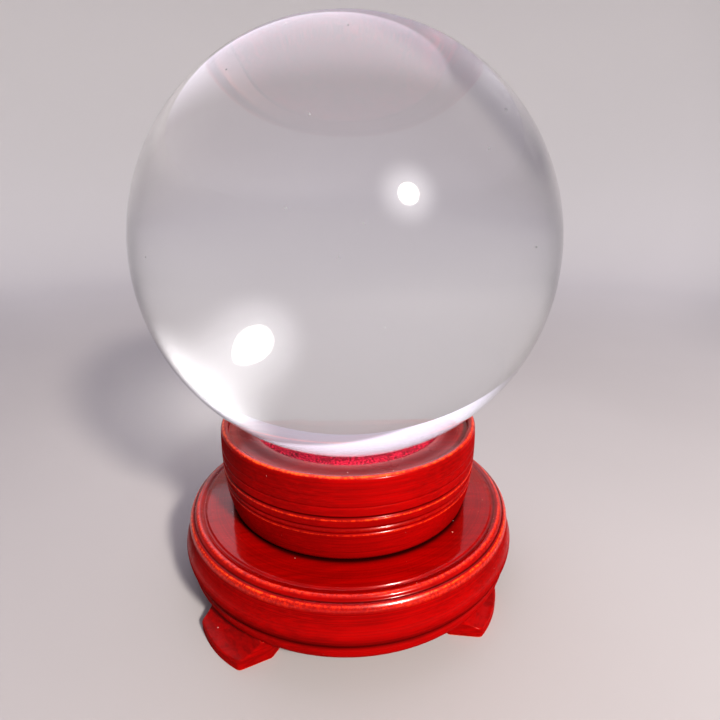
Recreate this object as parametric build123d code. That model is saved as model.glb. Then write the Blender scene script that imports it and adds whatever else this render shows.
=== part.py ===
"""Glass gazing ball, 150 mm across, on a turned two-tier wooden stand with a velvet-lined seat.

The stand is a hollow cup, glued and screwed to a moulded base disc that stands on four saw-cut feet.
Units are millimetres. +Z is up, and the origin lies on the surface that the feet stand on, under the
ball's centre. Each sub-part is written to parts/NAME.step.
"""
import os
from math import sqrt

from build123d import *

os.makedirs("parts", exist_ok=True)

# ---- ball and seat ---------------------------------------------------------------------------------
ball_r = 75.0               # stock ball, 150 mm across
ball_z = 131.25             # height of its centre
seat_r = 30.0               # radius of the ring that the ball rests on
seat_clearance = 0.3        # the crushed pile between the ball and the lining
velvet = 1.5                # thickness of the lining
velvet_edge_r = 38.2        # outer edge of the lining
nose_r = 5.0                # rounding of the seat ring, over the velvet
well_z = 50.0               # bottom of the well under the ball, over the velvet
well_corner_r = 5.5         # rounding between the well's side and its floor

# ---- cup, the upper tier: points are (radius, height) -----------------------------------------------
ledge_r = 38.4              # inner edge of the flat ledge round the seat
ledge_z = 63.8
lip_inside = (48.4, 64.9)
lip_crest = (49.9, 66.4)
lip_outside = (51.4, 64.9)
cup_shoulder = (51.7, 57.5)
cup_waist = (51.05, 44.0)
cup_haunch = (50.2, 38.8)
cup_hem = (48.9, 34.0)      # where the side turns in to its foot
cup_heel = (48.1, 32.6)
cup_foot_r = 46.6
spigot_r = 20.0             # tenon under the cup
spigot_length = 5.5
# each turned groove round the side: (radius, height) of its centre, and its own radius
cup_grooves = (
    ((51.80, 59.4), 0.30),
    ((51.85, 55.7), 0.40),
    ((51.70, 51.5), 0.75),
    ((51.45, 47.3), 0.60),
    ((51.25, 45.2), 0.50),
)

# ---- base disc, the lower tier: points are (radius, height) -----------------------------------------
deck_z = 31.9               # the deck under the cup
deck_r = 49.0               # outside this the deck falls away gently
deck_edge = (59.8, 31.3)
quirk = (60.7, 30.7)        # narrow groove inside the bead
bead_start = (61.2, 30.9)
bead = (62.6, 31.5)         # crest of the bead
bead_end = (64.3, 30.2)
valley = (64.7, 29.8)       # groove between the bead and the arris
arris = (66.0, 29.7)        # sharp edge at the top of the side
skirt_top = (66.6, 25.0)
skirt_shoulder = (67.8, 21.0)
skirt_belly = (68.6, 17.4)
skirt_hem = (67.1, 14.2)
hem_quirk = (66.3, 13.6)    # groove over the bead at the bottom edge
hem_bead = (67.15, 11.3)
disc_bottom_r = 65.2
foot_h = 8.3                # the disc's flat underside is this high

# ---- feet: points are (along the foot's centre line from the stand's axis, sideways) ----------------
heel = (46.0, 11.7)
hip = (59.5, 16.2)          # widest, under the disc
toe = (70.4, 12.6)
toe_tip_x = 72.4            # the outer edge bows out this far
toe_h = 3.4                 # thickness at the outer edge
instep_x = 62.5             # the top of the foot falls in a hollow curve outside this
instep_hollow = (66.8, 4.9)
foot_corner_r = 2.2
foot_arris_r = 0.8
foot_centre_x = 60.0        # a foot is twisted about this point
# how each foot is glued on: its angle round the stand, how far it is shifted outwards, its twist
feet = {
    "front_left_foot": (225.3, 0.2, -7.1),
    "front_right_foot": (315.8, -4.0, 13.2),
    "back_right_foot": (45, 0, 0),
    "back_left_foot": (135, 0, 0),
}

# ---- screw and nails -------------------------------------------------------------------------------
screw_r = 2.0               # 4 x 30 countersunk wood screw
screw_length = 30.0
screw_head_r = 4.0
screw_face_z = 11.2         # face of the head, up inside its counterbore
counterbore_r = 4.8
cross_length = 4.6          # cross recess in the head
cross_width = 0.9
cross_depth = 1.5
thread_pitch = 1.8
thread_turns = 9
thread_root_r = 1.4
nail_r = 0.9                # 1.8 x 18 flat-head nails, two to a foot
nail_length = 18.0
nail_head_r = 1.7
nail_head_t = 0.9
nail_face_z = 0.4           # the heads are set just inside the sole
nail_x = 55.0
nail_y = 8.0
fit = 0.1                   # gap in the glued and drilled joints

# ---- the seat ring's rounding is centred so that the ball touches it at seat_r ----------------------
reach = ball_r + seat_clearance + nose_r
nose_x = reach * seat_r / ball_r
nose_z = ball_z - sqrt(reach ** 2 - nose_x ** 2)
ring_z = nose_z + nose_r


def turned(section):
    """Solid turned about the Z axis from a flat section drawn as (radius, height)."""
    return revolve(Plane.XZ * section, Axis.Z)


def rod(radius, z_low, z_high, x=0, y=0):
    """Upright cylinder between two heights."""
    return Pos(x, y, z_low) * Cylinder(radius, z_high - z_low, align=(Align.CENTER, Align.CENTER, Align.MIN))


def quarter_arc(centre, radius, start, end):
    """Quarter circle about a centre, from one unit direction to another."""
    middle = ((start[0] + end[0]) * sqrt(0.5), (start[1] + end[1]) * sqrt(0.5))
    directions = (start, middle, end)
    return ThreePointArc(*[(centre[0] + radius * dx, centre[1] + radius * dz) for dx, dz in directions])


def seat_line(depth, edge_r):
    """Section of the seat at a depth under the velvet's face, from edge_r in to the axis."""
    nose = nose_r - depth
    corner = well_corner_r + depth
    well_r = nose_x - nose
    floor_z = well_z - depth
    corner_centre = (well_r - corner, floor_z + corner)
    line = Line((edge_r, nose_z + nose), (nose_x, nose_z + nose))
    line += quarter_arc((nose_x, nose_z), nose, (0, 1), (-1, 0))
    line += Line((well_r, nose_z), (well_r, corner_centre[1]))
    line += quarter_arc(corner_centre, corner, (1, 0), (0, -1))
    line += Line((corner_centre[0], floor_z), (0, floor_z))
    return line


def crystal_ball():
    return Pos(0, 0, ball_z) * Sphere(ball_r)


def seat_lining():
    """Velvet dish that covers the seat ring and the well inside it."""
    outline = seat_line(0, velvet_edge_r)
    outline += seat_line(velvet, velvet_edge_r)
    outline += Line((velvet_edge_r, ring_z), (velvet_edge_r, ring_z - velvet))
    outline += Line((0, well_z), (0, well_z - velvet))
    return turned(make_face(outline.edges()))


def seat_cup():
    """Hollow upper tier: lined seat, flat ledge, half-round lip, grooved side and a spigot below."""
    spigot_z = deck_z - spigot_length
    outline = seat_line(velvet, ledge_r)
    outline += Polyline((ledge_r, ring_z - velvet), (ledge_r, ledge_z), (lip_inside[0], ledge_z), lip_inside)
    outline += ThreePointArc(lip_inside, lip_crest, lip_outside)
    outline += ThreePointArc(lip_outside, cup_shoulder, cup_waist)
    outline += ThreePointArc(cup_waist, cup_haunch, cup_hem)
    outline += ThreePointArc(cup_hem, cup_heel, (cup_foot_r, deck_z))
    outline += Polyline((cup_foot_r, deck_z), (spigot_r, deck_z), (spigot_r, spigot_z), (0, spigot_z))
    outline += Line((0, spigot_z), (0, well_z - velvet))
    section = make_face(outline.edges())
    for centre, size in cup_grooves:
        section -= Pos(*centre) * Circle(size)
    pilot = rod(screw_r + fit, spigot_z, screw_face_z + screw_length + 1)
    return turned(section) - pilot


def base_disc():
    """Moulded lower tier with a socket for the cup's spigot and a counterbored hole for the screw."""
    outline = Polyline((0, foot_h), (0, deck_z), (deck_r, deck_z), deck_edge)
    outline += ThreePointArc(deck_edge, quirk, bead_start)
    outline += ThreePointArc(bead_start, bead, bead_end)
    outline += Polyline(bead_end, valley, arris)
    outline += ThreePointArc(arris, skirt_top, skirt_shoulder)
    outline += ThreePointArc(skirt_shoulder, skirt_belly, skirt_hem)
    outline += Line(skirt_hem, hem_quirk)
    outline += ThreePointArc(hem_quirk, hem_bead, (disc_bottom_r, foot_h))
    outline += Line((disc_bottom_r, foot_h), (0, foot_h))
    disc = turned(make_face(outline.edges()))
    socket_z = deck_z - spigot_length - fit
    disc -= rod(spigot_r + fit, socket_z, deck_z)
    disc -= rod(screw_r + fit, foot_h, socket_z)
    disc -= rod(counterbore_r, foot_h, screw_face_z)
    disc -= screw_head(fit)
    return disc - nails(fit)


def glued_on(name, piece):
    """A foot, or one of its nails, carried from the X axis to where that foot is glued on."""
    angle, shift, twist = feet[name]
    place = Rot(0, 0, angle) * Pos(foot_centre_x + shift, 0, 0) * Rot(0, 0, twist)
    return place * Pos(-foot_centre_x, 0, 0) * piece


def foot(name):
    """Saw-cut foot that spreads towards its heel, with a hollow instep outside the disc."""
    left, right = [[(x, side * y) for x, y in (heel, hip, toe)] for side in (1, -1)]
    outline = Polyline(*right)
    outline += ThreePointArc(right[-1], (toe_tip_x, 0), left[-1])
    outline += Polyline(*reversed(left), right[0])
    blank = extrude(make_face(outline.edges()), foot_h)
    blank = fillet(blank.edges().filter_by(Axis.Z), foot_corner_r)
    side = Polyline((toe_tip_x, toe_h), (toe_tip_x, 0), (0, 0), (0, foot_h), (instep_x, foot_h))
    side += ThreePointArc((instep_x, foot_h), instep_hollow, (toe_tip_x, toe_h))
    piece = blank & extrude(Plane.XZ * make_face(side.edges()), hip[1], both=True)
    outside = piece.edges().filter_by(lambda edge: edge.center().X > instep_x + foot_arris_r)
    piece = fillet(outside.filter_by(lambda edge: edge.center().Z > toe_h - fit), foot_arris_r)
    return glued_on(name, piece) - nails(fit)


def screw_head(slack=0.0):
    """Countersunk cone that opens downwards."""
    height = screw_head_r - screw_r
    cone = Cone(screw_head_r + slack, screw_r + slack, height, align=(Align.CENTER, Align.CENTER, Align.MIN))
    return Pos(0, 0, screw_face_z) * cone


def cup_screw():
    """Countersunk wood screw, driven up from below through the disc into the cup."""
    tip_z = screw_face_z + screw_length
    point_h = 2 * screw_r
    thread_z = tip_z - point_h - thread_turns * thread_pitch
    outline = Polyline((0, screw_face_z), (screw_r, screw_face_z), (screw_r, thread_z))
    for turn in range(thread_turns):
        z = thread_z + turn * thread_pitch
        crest = (screw_r, z + thread_pitch)
        outline += Polyline((screw_r, z), (thread_root_r, z + thread_pitch / 2), crest)
    outline += Polyline((screw_r, tip_z - point_h), (0, tip_z), (0, screw_face_z))
    screw = turned(make_face(outline.edges())) + screw_head()
    bar = Box(cross_length, cross_width, cross_depth, align=(Align.CENTER, Align.CENTER, Align.MIN))
    for angle in (0, 90):
        screw -= Pos(0, 0, screw_face_z) * Rot(0, 0, angle) * bar
    return screw


def nails(slack=0.0):
    """All eight nails, or with some slack the holes for them, which open through the soles."""
    face_z = -slack if slack else nail_face_z
    nail = rod(nail_r + slack, face_z, nail_face_z + nail_length + slack)
    nail += rod(nail_head_r + slack, face_z, nail_face_z + nail_head_t + slack)
    pairs = [(name, Pos(nail_x, side * nail_y, 0) * nail) for name in feet for side in (-1, 1)]
    return Compound([glued_on(name, nail) for name, nail in pairs])


sub_parts = {
    "crystal_ball": crystal_ball(),
    "seat_lining": seat_lining(),
    "seat_cup": seat_cup(),
    "base_disc": base_disc(),
    "cup_screw": cup_screw(),
    "foot_nails": nails(),
}
for name in feet:
    sub_parts[name] = foot(name)
for name, shape in sub_parts.items():
    export_step(shape, f"parts/{name}.step")
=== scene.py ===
"""Looks for a glass gazing ball on its turned, lacquered stand with a velvet-lined seat.

Outlines repeat the parts' driving dimensions as (radius, height) in millimetres. Everything else is in
metres. The ball, the lining and the two turned tiers are finer meshes that stand for their CAD nodes.
The feet, the screw and the nails are the CAD nodes themselves.
"""
import math

import bmesh
import bpy
import numpy as np
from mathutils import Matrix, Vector, noise


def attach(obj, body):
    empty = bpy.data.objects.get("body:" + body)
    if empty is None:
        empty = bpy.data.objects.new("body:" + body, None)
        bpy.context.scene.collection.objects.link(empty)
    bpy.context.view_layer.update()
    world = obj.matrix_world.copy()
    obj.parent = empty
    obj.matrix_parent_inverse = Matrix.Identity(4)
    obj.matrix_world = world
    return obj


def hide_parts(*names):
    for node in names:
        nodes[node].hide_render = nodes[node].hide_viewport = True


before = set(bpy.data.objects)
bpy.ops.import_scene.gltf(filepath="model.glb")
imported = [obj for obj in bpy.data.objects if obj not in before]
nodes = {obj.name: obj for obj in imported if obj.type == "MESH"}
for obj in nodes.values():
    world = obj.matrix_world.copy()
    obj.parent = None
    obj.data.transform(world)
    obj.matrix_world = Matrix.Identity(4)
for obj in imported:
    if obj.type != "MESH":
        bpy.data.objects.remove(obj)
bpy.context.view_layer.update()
MM = 0.001

# ---- ball and seat, in millimetres -------------------------------------------------------------------
BALL_R = 75.0
BALL_Z = 131.25
SEAT_R = 30.0
SEAT_CLEARANCE = 0.3
VELVET = 1.5
VELVET_EDGE_R = 38.2
NOSE_R = 5.0
WELL_Z = 50.0
WELL_CORNER_R = 5.5
REACH = BALL_R + SEAT_CLEARANCE + NOSE_R
NOSE_X = REACH * SEAT_R / BALL_R
NOSE_Z = BALL_Z - math.sqrt(REACH ** 2 - NOSE_X ** 2)
RING_Z = NOSE_Z + NOSE_R

# ---- cup, as (radius, height) ------------------------------------------------------------------------
LEDGE_R = 38.4
LEDGE_Z = 63.8
LIP_INSIDE, LIP_CREST, LIP_OUTSIDE = (48.4, 64.9), (49.9, 66.4), (51.4, 64.9)
CUP_SHOULDER, CUP_WAIST, CUP_HAUNCH = (51.7, 57.5), (51.05, 44.0), (50.2, 38.8)
CUP_HEM, CUP_HEEL, CUP_FOOT_R = (48.9, 34.0), (48.1, 32.6), 46.6
SPIGOT_R, SPIGOT_LENGTH = 20.0, 5.5
CUP_GROOVES = (((51.80, 59.4), 0.30), ((51.85, 55.7), 0.40), ((51.70, 51.5), 0.75),
               ((51.45, 47.3), 0.60), ((51.25, 45.2), 0.50))

# ---- base disc, as (radius, height) ------------------------------------------------------------------
DECK_Z, DECK_R, DECK_EDGE = 31.9, 49.0, (59.8, 31.3)
QUIRK, BEAD_START, BEAD, BEAD_END = (60.7, 30.7), (61.2, 30.9), (62.6, 31.5), (64.3, 30.2)
VALLEY = (64.7, 29.8)
ARRIS = ((65.05, 29.75), (66.15, 28.75), (66.55, 26.6))     # rubbed round, so softer than the CAD's
SKIRT_TOP, SKIRT_SHOULDER = (66.85, 25.0), (67.8, 21.0)
SKIRT_BELLY, SKIRT_HEM = (68.6, 17.4), (67.1, 14.2)
HEM_QUIRK, HEM_BEAD, DISC_BOTTOM_R, FOOT_H = (66.3, 13.6), (67.15, 11.3), 65.2, 8.3
PILOT_R, SCREW_TIP_Z = 2.1, 42.2
COUNTERBORE_R, SCREW_FACE_Z, SINK_R, SINK_Z = 4.8, 11.2, 4.1, 13.2
SOCKET_CLEARANCE = 0.1
HIDDEN_DECK, HIDDEN_BOTTOM = 15, 12     # how far the softened outline runs on where it can't be seen

# ---- rings where the lacquer differs, as ((radius, height), reach, amount) ---------------------------
# Above 0 it is worn thin and orange. Below 0 it is dark: in grooves and creases partly lacquer pooled
# thick and partly painted shade, elsewhere painted shade.
# Painted shade in the cup's rings: under its heel, at the velvet's edge and across the ledge under the
# ball.
CUP_TONES = (((50.5, 66.25), 0.55, 1.25), (LIP_INSIDE, 0.5, -0.4), ((LEDGE_R, LEDGE_Z), 0.3, 0.8),
             ((51.5, 58.95), 0.3, 0.15), ((51.6, 55.1), 0.3, 0.2), ((51.4, 50.6), 0.35, 0.8),
             ((51.2, 46.5), 0.3, 0.3), ((51.1, 44.5), 0.3, 0.55), ((51.4, 59.4), 0.3, -0.2),
             ((51.4, 55.7), 0.35, -0.35), ((51.1, 51.6), 0.5, -0.7), ((51.0, 47.4), 0.4, -0.5),
             ((50.9, 45.3), 0.35, -0.45), (CUP_HEEL, 1.6, -0.9), ((VELVET_EDGE_R, RING_Z), 0.8, -0.6),
             ((42.5, LEDGE_Z), 4.0, -0.45))
# Painted shade in the disc's rings: round the cup's foot on the deck, under its edge over the feet and
# down the skirt's lower part.
DISC_TONES = (((63.2, 31.3), 0.7, 0.65), ((65.7, 29.3), 0.32, 0.55), (ARRIS[1], 1.9, 0.4),
              (QUIRK, 0.4, -0.3), (VALLEY, 0.5, -0.8), ((67.4, 15.0), 3.6, -0.6),
              (HEM_QUIRK, 0.5, -0.25), ((67.0, 12.0), 0.9, 0.2), ((DISC_BOTTOM_R, FOOT_H), 0.9, -0.7),
              ((47.5, DECK_Z), 2.0, -0.9))

# ---- how finely the outlines are cut and how far wood and lacquer soften them, in millimetres --------
FINE = 0.1
SOFTENED = 0.13
LONGEST_STEP = 0.8
SHARPEST_STEP = 0.07     # radians
TONE_STEP = 0.3          # radians that a whole step of tone counts for
ON_AXIS = 1e-6           # a smaller radius is one point on the axis
TURNED_SEGMENTS = 288
SEAT_EVERY, BACKING_EVERY = 8, 6     # one point in so many is kept where the seat is hidden
WAVER = 0.02             # how far the turnings are out of round

# ---- the velvet's nap and the ball's polish, depths in millimetres -----------------------------------
NAP = 0.18
TUFTS, FIBRES = 900, 2200            # per metre
POLISH_DEPTH, POLISH_WAVE = 0.010, 0.008
POLISH_SLOW, POLISH_FAST = 3.0, 7.0  # per radius of the ball
BALL_DIVISIONS = 7

# ---- camera: where it stands from the ball's centre, in metres ---------------------------------------
CAMERA_HEADING = math.radians(-95)
CAMERA_DISTANCE = 0.19024
CAMERA_RISE = 0.02085
CAMERA_PITCH = math.radians(-18.32)
CAMERA_TURN = math.radians(-1.43)
LENS, SENSOR = 25, 36
NEAREST = 0.01

# ---- lamps and dome, in degrees and metres -----------------------------------------------------------
LAMP_HEADING, LAMP_ELEVATION = -64.5, 32
LAMP_TARGET = Vector((0, 0, 0.09))
KEY_COLOUR, HALO_COLOUR = (1.0, 0.94, 0.86), (1.0, 0.96, 0.97)
DOME_LOW, DOME_HIGH = (0.15, 0.14, 0.19, 1), (0.42, 0.40, 0.48, 1)
DOME_BRIGHTEST, BRIGHTEST_ELEVATION, DOME_TILT = (2.6, 2.4, 2.8, 1), 48, (-0.5, 0.0, 1.0)
DOME_STRENGTH = 0.6

# ---- stage, in metres --------------------------------------------------------------------------------
STAGE_FLAT_R, STAGE_BEND_R, STAGE_TOP, STAGE_BEND_POINTS = 0.8, 0.5, 0.75, 24
PAPER_SHADES = (0.41, 0.385, 0.385, 1), (0.45, 0.425, 0.425, 1)
# Far paper is painted lighter as painted light; paper to either side is painted dark as painted shade.
PAPER_FAR_LIT, PAPER_ASIDE_SHADE = (0.88, 0.86, 0.87, 1), (0.22, 0.215, 0.22, 1)

# ---- colours of lacquer, glass, velvet and steel, and dust as (spacing, size) in metres --------------
LACQUER_SHADES = (0.23, 0.001, 0.001, 1), (0.37, 0.001, 0.001, 1)
LACQUER_RINGS = (0.13, 0.001, 0.001, 1)
LACQUER_RUBBED, LACQUER_WORN = (0.72, 0.028, 0.003, 1), (0.95, 0.22, 0.012, 1)
# Near black: lacquer pooled in grooves and creases, and painted shade in the contact rings and shaded
# rings.
LACQUER_POOLED_AND_SHADE = (0.02, 0.0005, 0.0005, 1)
LACQUER_GLINT, LACQUER_COAT = (1.0, 0.16, 0.12, 1), (1.0, 0.5, 0.4, 1)
DUST, FINE_DUST, COARSE_DUST = (0.80, 0.70, 0.66, 1), (0.0042, 0.00017), (0.009, 0.00028)
GLASS_DUST = (0.008, 0.0003)
GLASS, GLASS_SHADOW = (0.985, 0.992, 1.0, 1), (0.42, 0.44, 0.46, 1)
# Velvet: painted shade for the pile's depths and painted highlight for its tips.
VELVET_SHADED_DEPTHS, VELVET_LIT_TIPS = (0.10, 0.0, 0.003, 1), (0.98, 0.012, 0.06, 1)
VELVET_SHEEN = (1.0, 0.15, 0.22, 1)
ZINC_SHADES = (0.42, 0.41, 0.38, 1), (0.72, 0.70, 0.64, 1)


def direction(heading, elevation):
    """Unit vector at a heading, counted round from +X, and an elevation, both in radians."""
    level = math.cos(elevation)
    return Vector((level * math.cos(heading), level * math.sin(heading), math.sin(elevation)))


# ---- outlines ----------------------------------------------------------------------------------------
def arc(start, middle, end):
    """Points along the arc through three points, without its start."""
    (ax, ay), (bx, by), (cx, cy) = start, middle, end
    twice_area = 2 * (ax * (by - cy) + bx * (cy - ay) + cx * (ay - by))
    a2, b2, c2 = ax * ax + ay * ay, bx * bx + by * by, cx * cx + cy * cy
    x0 = (a2 * (by - cy) + b2 * (cy - ay) + c2 * (ay - by)) / twice_area
    y0 = (a2 * (cx - bx) + b2 * (ax - cx) + c2 * (bx - ax)) / twice_area
    radius = math.hypot(ax - x0, ay - y0)
    first = math.atan2(ay - y0, ax - x0)
    sweep = math.atan2(cy - y0, cx - x0) - first
    half = math.atan2(by - y0, bx - x0) - first
    if half % math.tau > sweep % math.tau:
        sweep = sweep % math.tau - math.tau
    else:
        sweep = sweep % math.tau
    count = max(2, math.ceil(abs(sweep) * radius / FINE))
    angles = [first + sweep * (i + 1) / count for i in range(count)]
    return [(x0 + radius * math.cos(t), y0 + radius * math.sin(t)) for t in angles]


def quarter(centre, radius, start, end):
    """Points along a quarter circle about a centre, from one unit direction to another."""
    middle = ((start[0] + end[0]) * math.sqrt(0.5), (start[1] + end[1]) * math.sqrt(0.5))
    on = [(centre[0] + radius * x, centre[1] + radius * y) for x, y in (start, middle, end)]
    return on[:1] + arc(*on)


def seat_line(depth):
    """Outline of the seat at a depth under the velvet's face, from its crest in to the axis."""
    nose = NOSE_R - depth
    corner = WELL_CORNER_R + depth
    well_r = NOSE_X - nose
    floor_z = WELL_Z - depth
    line = quarter((NOSE_X, NOSE_Z), nose, (0, 1), (-1, 0))
    line += quarter((well_r - corner, floor_z + corner), corner, (1, 0), (0, -1))
    return line + [(0, floor_z)]


def blur(values, spread):
    """Values along a line, smoothed by a bell of that spread, counted in points."""
    reach = math.ceil(3 * spread)
    bell = np.exp(-0.5 * (np.arange(-reach, reach + 1) / spread) ** 2)
    padded = np.pad(values, reach, mode="reflect", reflect_type="odd")
    return np.convolve(padded, bell / bell.sum(), mode="valid")


def soften(points, grooves=(), tones=()):
    """Rounds an outline as sanding and lacquer do. Returns its points and the tone at each."""
    points = np.array(points)
    along = np.concatenate([[0], np.cumsum(np.linalg.norm(np.diff(points, axis=0), axis=1))])
    steps = np.linspace(0, along[-1], math.ceil(along[-1] / FINE))
    line = np.column_stack([np.interp(steps, along, points[:, i]) for i in (0, 1)])
    for (groove_r, groove_z), size in grooves:
        depth = np.sqrt(np.clip(size ** 2 - (line[:, 1] - groove_z) ** 2, 0, None))
        near = (np.abs(line[:, 1] - groove_z) < size) & (line[:, 0] > groove_r - 1)
        line[near, 0] = np.minimum(line[near, 0], groove_r - depth[near])
    line = np.column_stack([blur(line[:, i], SOFTENED / FINE) for i in (0, 1)])
    tone = np.zeros(len(line))
    for centre, reach, amount in tones:
        tone += amount * np.exp(-((line - centre) ** 2).sum(axis=1) / reach ** 2)
    heading = np.unwrap(np.arctan2(*np.gradient(line, axis=0).T[::-1]))
    kept, turned, gone = [0], 0.0, 0.0
    for i in range(1, len(line)):
        turned += abs(heading[i] - heading[i - 1]) + TONE_STEP * abs(tone[i] - tone[i - 1])
        gone += FINE
        if turned > SHARPEST_STEP or gone > LONGEST_STEP or i == len(line) - 1:
            kept.append(i)
            turned = gone = 0.0
    return line[kept], tone[kept]


def turned_mesh(name, outline, tones, closed, waver=0.0):
    """Object turned about the Z axis from an outline, with each point's tone kept for its material."""
    outline = np.array(outline)
    angles = np.arange(TURNED_SEGMENTS) * math.tau / TURNED_SEGMENTS
    verts, values, rings = [], [], []
    for (radius, height), value in zip(outline, tones):
        if radius < ON_AXIS:
            rings.append([len(verts)] * TURNED_SEGMENTS)
            verts.append((0, 0, height * MM))
            values.append(value)
            continue
        rings.append(range(len(verts), len(verts) + TURNED_SEGMENTS))
        drift = waver * np.sin(2 * angles + height / 9) + 0.6 * waver * np.sin(3 * angles + radius / 7)
        r = (radius - np.abs(drift)) * MM
        verts += zip(r * np.cos(angles), r * np.sin(angles), np.full(TURNED_SEGMENTS, height * MM))
        values += [value] * TURNED_SEGMENTS
    faces = []
    pairs = list(zip(rings, rings[1:])) + ([(rings[-1], rings[0])] if closed else [])
    for low, high in pairs:
        for i in range(TURNED_SEGMENTS):
            j = (i + 1) % TURNED_SEGMENTS
            corners = [low[i], low[j], high[j], high[i]]
            faces.append([c for k, c in enumerate(corners) if c not in corners[:k]])
    mesh = bpy.data.meshes.new(name)
    mesh.from_pydata(verts, [], faces)
    mesh.shade_smooth()
    layer = mesh.attributes.new("tone", "FLOAT", "POINT")
    layer.data.foreach_set("value", np.array(values, np.float32))
    bm = bmesh.new()
    bm.from_mesh(mesh)
    bmesh.ops.recalc_face_normals(bm, faces=bm.faces)
    bm.to_mesh(mesh)
    bm.free()
    piece = bpy.data.objects.new(name, mesh)
    bpy.context.scene.collection.objects.link(piece)
    return piece


def joined(shown, shown_tone, hidden):
    """Outline and tones of a softened stretch followed by hidden corner points."""
    return list(map(tuple, shown)) + list(hidden), list(shown_tone) + [0.0] * len(hidden)


# ---- pieces ------------------------------------------------------------------------------------------
def make_cup():
    """Upper tier: ledge, half-round lip, grooved side and heel, then the hidden spigot and seat."""
    line = [(LEDGE_R, RING_Z - VELVET), (LEDGE_R, LEDGE_Z), (LIP_INSIDE[0], LEDGE_Z), LIP_INSIDE]
    line += arc(LIP_INSIDE, LIP_CREST, LIP_OUTSIDE)
    line += arc(LIP_OUTSIDE, CUP_SHOULDER, CUP_WAIST)
    line += arc(CUP_WAIST, CUP_HAUNCH, CUP_HEM)
    line += arc(CUP_HEM, CUP_HEEL, (CUP_FOOT_R, DECK_Z))
    shown, tone = soften(line, CUP_GROOVES, CUP_TONES)
    spigot_z = DECK_Z - SPIGOT_LENGTH
    below = [(SPIGOT_R, DECK_Z), (SPIGOT_R, spigot_z), (PILOT_R, spigot_z)]
    below += [(PILOT_R, SCREW_TIP_Z), (0, SCREW_TIP_Z)]
    seat = seat_line(VELVET)[::SEAT_EVERY] + [(0, WELL_Z - VELVET)]
    outline, values = joined(shown, tone, below)
    outline = seat[::-1] + outline
    values = [0.0] * len(seat) + values
    return turned_mesh("turned_cup", outline, values, False, waver=WAVER)


def make_disc():
    """Lower tier: deck, bead, arris and bulged side, then the underside, screw hole and socket."""
    line = [(SPIGOT_R + HIDDEN_DECK, DECK_Z), (DECK_R, DECK_Z), DECK_EDGE]
    line += arc(DECK_EDGE, QUIRK, BEAD_START)
    line += arc(BEAD_START, BEAD, BEAD_END)
    line += [VALLEY, ARRIS[0]]
    line += arc(*ARRIS)
    line += arc(ARRIS[2], SKIRT_TOP, SKIRT_SHOULDER)
    line += arc(SKIRT_SHOULDER, SKIRT_BELLY, SKIRT_HEM)
    line += [HEM_QUIRK]
    line += arc(HEM_QUIRK, HEM_BEAD, (DISC_BOTTOM_R, FOOT_H))
    line += [(DISC_BOTTOM_R - HIDDEN_BOTTOM, FOOT_H)]
    shown, tone = soften(line, tones=DISC_TONES)
    socket_r, socket_z = SPIGOT_R + SOCKET_CLEARANCE, DECK_Z - SPIGOT_LENGTH - SOCKET_CLEARANCE
    hidden = [(COUNTERBORE_R, FOOT_H), (COUNTERBORE_R, SCREW_FACE_Z), (SINK_R, SCREW_FACE_Z)]
    hidden += [(PILOT_R, SINK_Z), (PILOT_R, socket_z), (socket_r, socket_z), (socket_r, DECK_Z)]
    outline, values = joined(shown, tone, hidden)
    return turned_mesh("turned_base_disc", outline, values, True, waver=WAVER)


def make_lining():
    """Velvet dish over the seat ring and the well, with a nap pressed into uneven tufts."""
    face = seat_line(0)[::-1] + [(VELVET_EDGE_R, RING_Z), (VELVET_EDGE_R, RING_Z - VELVET)]
    shown, tone = soften(face)
    backing = seat_line(VELVET)[::BACKING_EVERY]
    outline, values = joined(shown, tone, backing + [(0, WELL_Z - VELVET)])
    lining = turned_mesh("velvet_lining", outline, values, False)
    mesh = lining.data
    face_verts = len(mesh.vertices) - len(backing) * TURNED_SEGMENTS - 1
    places = [v.co.copy() for v in mesh.vertices]
    normals = [v.normal.copy() for v in mesh.vertices]
    for i in range(face_verts):
        tuft = noise.noise(places[i] * TUFTS) + 0.5 * noise.noise(places[i] * FIBRES)
        places[i] -= normals[i] * NAP * MM * max(0.0, 0.5 + tuft)
    mesh.vertices.foreach_set("co", np.array(places, np.float32).ravel())
    return lining


def make_ball():
    """Polished glass ball, a fine geodesic mesh with the faint waves of hand polishing."""
    bm = bmesh.new()
    bmesh.ops.create_icosphere(bm, subdivisions=BALL_DIVISIONS, radius=1)
    elsewhere = Vector((5, 1, 2))
    for v in bm.verts:
        wave = noise.noise(v.co * POLISH_SLOW) + 0.5 * noise.noise(v.co * POLISH_FAST + elsewhere)
        radius = BALL_R - POLISH_DEPTH + POLISH_WAVE * wave
        v.co = v.co.normalized() * radius * MM + Vector((0, 0, BALL_Z * MM))
    mesh = bpy.data.meshes.new("glass_ball")
    bm.to_mesh(mesh)
    bm.free()
    mesh.shade_smooth()
    ball = bpy.data.objects.new("glass_ball", mesh)
    bpy.context.scene.collection.objects.link(ball)
    return ball


# ---- materials ---------------------------------------------------------------------------------------
def new_material(name):
    material = bpy.data.materials.new(name)
    material.use_nodes = True
    return material, material.node_tree, material.node_tree.nodes["Principled BSDF"]


def add(tree, kind, inputs=None, **settings):
    """Adds a shader node. An input is a number, a colour, or a socket to link from."""
    made = tree.nodes.new("ShaderNode" + kind)
    for name, value in settings.items():
        setattr(made, name, value)
    for key, value in (inputs or {}).items():
        if isinstance(value, bpy.types.NodeSocket):
            tree.links.new(value, made.inputs[key])
        else:
            made.inputs[key].default_value = value
    return made


def math_node(tree, operation, a, b=0.0):
    return add(tree, "Math", {0: a, 1: b}, operation=operation).outputs[0]


def product(tree, a, b):
    return math_node(tree, "MULTIPLY", a, b)


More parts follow.
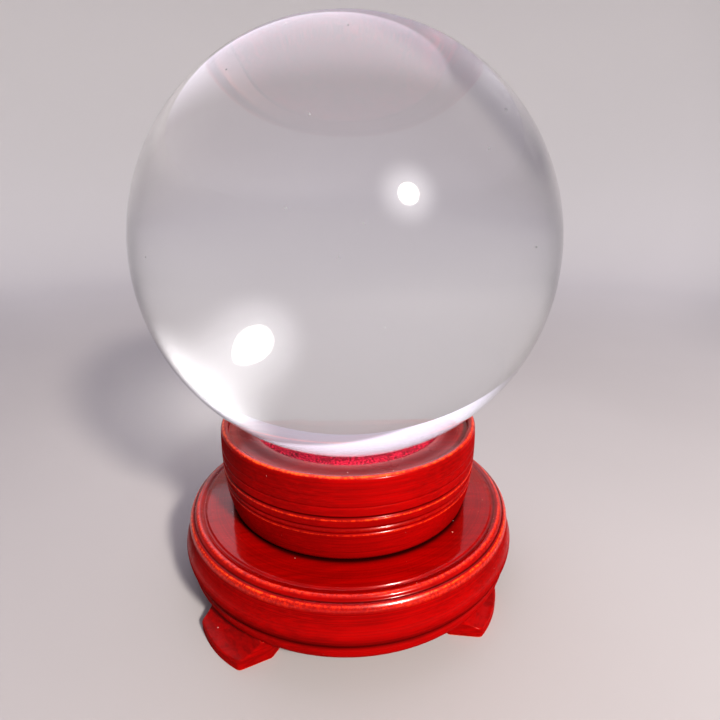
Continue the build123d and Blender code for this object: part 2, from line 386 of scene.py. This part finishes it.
def weighted(tree, a, share_a, b, share_b):
    """a and b, each times its share, added up."""
    return math_node(tree, "ADD", product(tree, a, share_a), product(tree, b, share_b))


def dot(tree, a, b):
    return add(tree, "VectorMath", {0: a, 1: b}, operation="DOT_PRODUCT").outputs["Value"]


def mix_colour(tree, factor, a, b):
    return add(tree, "Mix", {"Factor": factor, 6: a, 7: b}, data_type="RGBA").outputs[2]


def ramp(tree, value, low, high, to_low=0.0, to_high=1.0):
    """Value from low to high, carried smoothly to to_low..to_high and held there outside."""
    inputs = {"Value": value, "From Min": low, "From Max": high, "To Min": to_low, "To Max": to_high}
    return add(tree, "MapRange", inputs, interpolation_type="SMOOTHSTEP").outputs[0]


def noise_at(tree, place, scale, detail=2.0, roughness=0.5):
    inputs = {"Vector": place, "Scale": scale, "Detail": detail, "Roughness": roughness}
    return add(tree, "TexNoise", inputs).outputs["Fac"]


def stretched(tree, place, scale):
    return add(tree, "Mapping", {"Vector": place, "Scale": scale}).outputs["Vector"]


def specks(tree, place, spacing, size):
    """1 on scattered specks of dust and 0 between them."""
    cells = add(tree, "TexVoronoi", {"Vector": place, "Scale": 1 / spacing, "Randomness": 1.0})
    draw = add(tree, "SeparateColor", {0: cells.outputs["Color"]}).outputs[0]
    chosen = math_node(tree, "GREATER_THAN", draw, 0.5)
    near = math_node(tree, "LESS_THAN", cells.outputs["Distance"], size / spacing)
    return product(tree, chosen, near)


def lacquered_wood(name, turned):
    """Red lacquer over fine-grained wood. Turned pieces have tool rings, and take their mesh's tone:
    wear, pooled lacquer and painted shade.

    Sawn ones have saw lines, and are worn along their edges.
    """
    material, tree, shader = new_material(name)
    place = add(tree, "TexCoord").outputs["Object"]
    streaks = noise_at(tree, stretched(tree, place, (30, 600, 1100)), 1.0, 3.0, 0.6)
    clouds = noise_at(tree, stretched(tree, place, (25, 50, 50)), 1.0, 2.0)
    x, y, z = add(tree, "SeparateXYZ", {0: place}).outputs
    radius = math_node(tree, "SQRT", weighted(tree, x, x, y, y))
    normal = add(tree, "NewGeometry").outputs["Normal"]
    if turned:
        profile = add(tree, "CombineXYZ", {0: radius, 1: z}).outputs[0]
        rings = noise_at(tree, profile, 1700, 3.0, 0.65)
        tone = add(tree, "Attribute", attribute_name="tone").outputs["Fac"]
    else:
        rings = noise_at(tree, stretched(tree, place, (200, 200, 1500)), 1.0, 2.0)
        soft = add(tree, "Bevel", {"Radius": 0.0006}, samples=4).outputs[0]
        tone = product(tree, math_node(tree, "SUBTRACT", 1.0, dot(tree, soft, normal)), 4.0)
    grit = noise_at(tree, place, 900, 3.0, 0.7)
    patches = noise_at(tree, place, 24, 1.0)
    patchy = ramp(tree, patches, 0.42, 0.55, 0.8, 1.15)
    wear = product(tree, ramp(tree, grit, 0.35, 0.65, 0.45, 1.3), patchy)
    rough_tone = product(tree, tone, wear)
    rubbed = ramp(tree, rough_tone, 0.1, 0.75)
    worn = ramp(tree, rough_tone, 0.6, 1.35)
    # Below 0 the tone darkens the lacquer: pooled lacquer in grooves and creases, and painted shade
    # elsewhere.
    pooled_and_shade = ramp(tree, tone, 0.0, -0.9)
    grain = weighted(tree, streaks, 0.5, clouds, 0.5)
    colour = mix_colour(tree, ramp(tree, grain, 0.35, 0.65), *LACQUER_SHADES)
    colour = mix_colour(tree, ramp(tree, rings, 0.47, 0.62, 0.0, 0.4), colour, LACQUER_RINGS)
    colour = mix_colour(tree, rubbed, colour, LACQUER_RUBBED)
    colour = mix_colour(tree, worn, colour, LACQUER_WORN)
    colour = mix_colour(tree, pooled_and_shade, colour, LACQUER_POOLED_AND_SHADE)
    up = add(tree, "SeparateXYZ", {0: normal}).outputs[2]
    fine, coarse = specks(tree, place, *FINE_DUST), specks(tree, place, *COARSE_DUST)
    dust = product(tree, math_node(tree, "MAXIMUM", fine, coarse), ramp(tree, up, -0.3, 0.5))
    colour = mix_colour(tree, dust, colour, DUST)
    tree.links.new(colour, shader.inputs["Base Color"])
    smears = noise_at(tree, place, 90, 3.0)
    tree.links.new(ramp(tree, smears, 0.3, 0.75, 0.25, 0.4), shader.inputs["Roughness"])
    shader.inputs["IOR"].default_value = 1.5
    shader.inputs["Specular Tint"].default_value = LACQUER_GLINT
    handled = product(tree, ramp(tree, tone, 0.12, 0.5), ramp(tree, radius, 0.054, 0.06, 0.3, 1.0))
    # Gloss is also taken off where the lacquer is pooled and where shade is painted.
    free_of_pooling_and_shade = ramp(tree, pooled_and_shade, 0.0, 0.6, 1.0, 0.2)
    gloss = product(tree, free_of_pooling_and_shade, ramp(tree, up, 0.2, 0.8, 0.0, 0.25 if turned else 0.15))
    tree.links.new(gloss, shader.inputs["Specular IOR Level"])
    polish = product(tree, free_of_pooling_and_shade, ramp(tree, up, 0.45, 0.85, 0.04, 1.0 if turned else 0.12))
    polish = math_node(tree, "MAXIMUM", polish, handled)
    tree.links.new(polish, shader.inputs["Coat Weight"])
    tree.links.new(ramp(tree, handled, 0.3, 0.9, 1.36, 1.5), shader.inputs["Coat IOR"])
    scuffed = ramp(tree, up, 0.95, 0.6, 0.08, 0.15)
    scuffed = math_node(tree, "MAXIMUM", scuffed, product(tree, handled, 0.22))
    tree.links.new(scuffed, shader.inputs["Coat Roughness"])
    shader.inputs["Coat Tint"].default_value = LACQUER_COAT
    ripples = weighted(tree, rings, 0.8, streaks, 0.2)
    under = add(tree, "Bump", {"Strength": 0.4, "Distance": 0.0001, "Height": ripples}).outputs[0]
    orange_peel = noise_at(tree, place, 350, 2.0)
    film = weighted(tree, orange_peel, 1.4, rings, 0.35)
    over = add(tree, "Bump", {"Strength": 0.2, "Distance": 0.0001, "Height": film}).outputs[0]
    tree.links.new(under, shader.inputs["Normal"])
    tree.links.new(over, shader.inputs["Coat Normal"])
    return material


def clear_glass():
    """Polished glass with faint smears and a little dust. Lamps shine through it on what is below."""
    material, tree, shader = new_material("clear_glass")
    place = add(tree, "TexCoord").outputs["Object"]
    shader.inputs["Base Color"].default_value = GLASS
    shader.inputs["IOR"].default_value = 1.52
    shader.inputs["Transmission Weight"].default_value = 1.0
    smears = noise_at(tree, stretched(tree, place, (60, 60, 25)), 1.0, 4.0, 0.6)
    dust = product(tree, specks(tree, place, *GLASS_DUST), 0.7)
    dulled = math_node(tree, "MAXIMUM", ramp(tree, smears, 0.55, 0.8, 0.0, 0.02), dust)
    tree.links.new(dulled, shader.inputs["Roughness"])
    lamplight = add(tree, "BsdfTransparent", {"Color": GLASS_SHADOW}).outputs[0]
    shadow_ray = add(tree, "LightPath").outputs["Is Shadow Ray"]
    through = add(tree, "MixShader", {0: shadow_ray, 1: shader.outputs[0], 2: lamplight}).outputs[0]
    tree.links.new(through, tree.nodes["Material Output"].inputs["Surface"])
    return material


def crimson_velvet():
    """Short crimson pile with painted shade in its depths and painted highlight on its tips, spread at
    random, and a bright sheen where fibres turn away.
    """
    material, tree, shader = new_material("crimson_velvet")
    place = add(tree, "TexCoord").outputs["Object"]
    pile = noise_at(tree, place, 1500, 3.0, 0.7)
    nap = noise_at(tree, place, 160, 2.0)
    tone = weighted(tree, pile, 0.82, nap, 0.18)
    # Painted shade in the pile's depths and painted highlight on its tips, spread at random.
    colour = mix_colour(tree, ramp(tree, tone, 0.43, 0.58), VELVET_SHADED_DEPTHS, VELVET_LIT_TIPS)
    tree.links.new(colour, shader.inputs["Base Color"])
    tree.links.new(ramp(tree, nap, 0.3, 0.7, 0.8, 1.0), shader.inputs["Roughness"])
    tree.links.new(ramp(tree, pile, 0.5, 0.65, 0.1, 0.8), shader.inputs["Sheen Weight"])
    shader.inputs["Sheen Roughness"].default_value = 0.3
    shader.inputs["Sheen Tint"].default_value = VELVET_SHEEN
    shader.inputs["Specular IOR Level"].default_value = 0.15
    bump = add(tree, "Bump", {"Strength": 1.0, "Distance": 0.0005, "Height": pile}).outputs[0]
    tree.links.new(bump, shader.inputs["Normal"])
    return material


def zinc_steel():
    """Zinc-plated steel, dulled and slightly blotched."""
    material, tree, shader = new_material("zinc_steel")
    place = add(tree, "TexCoord").outputs["Object"]
    blotches = noise_at(tree, place, 350, 3.0)
    colour = mix_colour(tree, blotches, *ZINC_SHADES)
    tree.links.new(colour, shader.inputs["Base Color"])
    shader.inputs["Metallic"].default_value = 1.0
    tree.links.new(ramp(tree, blotches, 0.3, 0.7, 0.28, 0.5), shader.inputs["Roughness"])
    bump = add(tree, "Bump", {"Strength": 0.2, "Distance": 0.0001, "Height": blotches}).outputs[0]
    tree.links.new(bump, shader.inputs["Normal"])
    return material


def paint(piece, material):
    """Gives a piece, or a CAD node, one material in all its slots."""
    if not piece.material_slots:
        piece.data.materials.append(material)
    for slot in piece.material_slots:
        slot.link = "OBJECT"
        slot.material = material


# ---- stage, lights and camera ------------------------------------------------------------------------
def make_stage():
    """Seamless pale floor that curves up into a round wall. Far off it is painted lighter, as painted
    light, and painted dark to either side of the part behind, as painted shade.
    """
    bend = [(STAGE_FLAT_R + STAGE_BEND_R * math.sin(t), STAGE_BEND_R * (1 - math.cos(t)))
            for t in np.linspace(0, math.pi / 2, STAGE_BEND_POINTS)]
    outline = [(0.0, 0.0)] + bend + [(STAGE_FLAT_R + STAGE_BEND_R, STAGE_TOP)]
    stage = turned_mesh("stage", [(r / MM, z / MM) for r, z in outline], [0.0] * len(outline), False)
    material, tree, shader = new_material("pale_paper")
    place = add(tree, "TexCoord").outputs["Object"]
    paper = mix_colour(tree, noise_at(tree, place, 6, 3.0), *PAPER_SHADES)
    outwards = add(tree, "VectorMath", {0: place}, operation="NORMALIZE").outputs[0]
    behind = dot(tree, outwards, direction(CAMERA_HEADING + math.pi, 0))
    distance = add(tree, "VectorMath", {0: place}, operation="LENGTH").outputs["Value"]
    # Painted light: the paper gets lighter far off.
    paper = mix_colour(tree, ramp(tree, distance, 0.25, 1.2), paper, PAPER_FAR_LIT)
    # Painted shade: the far paper to either side of the part behind is darkened.
    aside_shade = product(tree, ramp(tree, distance, 0.35, 0.8), ramp(tree, behind, 0.78, 0.45))
    colour = mix_colour(tree, aside_shade, paper, PAPER_ASIDE_SHADE)
    tree.links.new(colour, shader.inputs["Base Color"])
    shader.inputs["Roughness"].default_value = 0.9
    paint(stage, material)


def softbox(name, distance, size, watts, colour, core):
    """Round lamp that faces the object, fades outside its core and isn't itself in view."""
    lamp = bpy.data.lights.new(name, "AREA")
    lamp.shape = "DISK"
    lamp.size = size
    lamp.energy = watts
    lamp.color = colour
    lamp.use_nodes = True
    tree = lamp.node_tree
    spot = add(tree, "NewGeometry").outputs["Parametric"]
    middle = (0.5, 0.5, 0)
    out = add(tree, "VectorMath", {0: spot, 1: middle}, operation="DISTANCE").outputs["Value"]
    tree.links.new(ramp(tree, out, 0.5, core, 0.0, 1.0), tree.nodes["Emission"].inputs["Strength"])
    holder = bpy.data.objects.new(name, lamp)
    towards = direction(math.radians(LAMP_HEADING), math.radians(LAMP_ELEVATION))
    holder.location = LAMP_TARGET + towards * distance
    holder.rotation_euler = (LAMP_TARGET - holder.location).to_track_quat("-Z", "Y").to_euler()
    holder.visible_camera = False
    bpy.context.scene.collection.objects.link(holder)


def light_scene():
    """A small warm key with a wide halo, under a dome that is brightest behind the object."""
    softbox("key", distance=1.0, size=0.17, watts=34, colour=KEY_COLOUR, core=0.15)
    softbox("halo", distance=1.05, size=0.6, watts=8, colour=HALO_COLOUR, core=0.0)
    world = bpy.data.worlds.new("dome")
    world.use_nodes = True
    tree = world.node_tree
    towards = add(tree, "TexCoord").outputs["Generated"]
    height = add(tree, "SeparateXYZ", {0: towards}).outputs[2]
    dome = mix_colour(tree, ramp(tree, height, 0.25, 0.6), DOME_LOW, DOME_HIGH)
    brightest = direction(CAMERA_HEADING + math.pi, math.radians(BRIGHTEST_ELEVATION))
    facing = dot(tree, towards, brightest)
    tilted = dot(tree, towards, DOME_TILT)
    glow = product(tree, ramp(tree, facing, 0.68, 0.9), ramp(tree, tilted, 0.5, 0.56, 0.3, 1.0))
    dome = mix_colour(tree, glow, dome, DOME_BRIGHTEST)
    tree.links.new(dome, tree.nodes["Background"].inputs["Color"])
    tree.nodes["Background"].inputs["Strength"].default_value = DOME_STRENGTH
    bpy.context.scene.world = world
    bpy.context.scene.view_settings.view_transform = "Standard"


def place_camera():
    """Camera at the photograph's place, aimed past the ball's centre by its pitch and turn."""
    centre = Vector((0, 0, BALL_Z * MM))
    stand = direction(CAMERA_HEADING, 0) * CAMERA_DISTANCE + Vector((0, 0, CAMERA_RISE))
    camera = bpy.data.cameras.new("camera")
    camera.lens = LENS
    camera.sensor_width = SENSOR
    camera.clip_start = NEAREST
    holder = bpy.data.objects.new("camera", camera)
    holder.location = centre + stand
    aim = direction(CAMERA_HEADING + math.pi + CAMERA_TURN, CAMERA_PITCH)
    holder.rotation_euler = aim.to_track_quat("-Z", "Y").to_euler()
    bpy.context.scene.collection.objects.link(holder)
    bpy.context.scene.camera = holder


# ---- the object --------------------------------------------------------------------------------------
turned_lacquer = lacquered_wood("turned_lacquer", True)
sawn_lacquer = lacquered_wood("sawn_lacquer", False)

cup = make_cup()
paint(cup, turned_lacquer)
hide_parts("seat_cup")
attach(cup, "stand")

disc = make_disc()
paint(disc, turned_lacquer)
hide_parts("base_disc")
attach(disc, "stand")

lining = make_lining()
paint(lining, crimson_velvet())
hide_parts("seat_lining")
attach(lining, "stand")

ball = make_ball()
paint(ball, clear_glass())
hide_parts("crystal_ball")
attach(ball, "ball")

for node_name, node_object in nodes.items():
    if node_name.endswith("_foot"):
        paint(node_object, sawn_lacquer)
steel = zinc_steel()
paint(nodes["cup_screw"], steel)
paint(nodes["foot_nails"], steel)

make_stage()
light_scene()
place_camera()
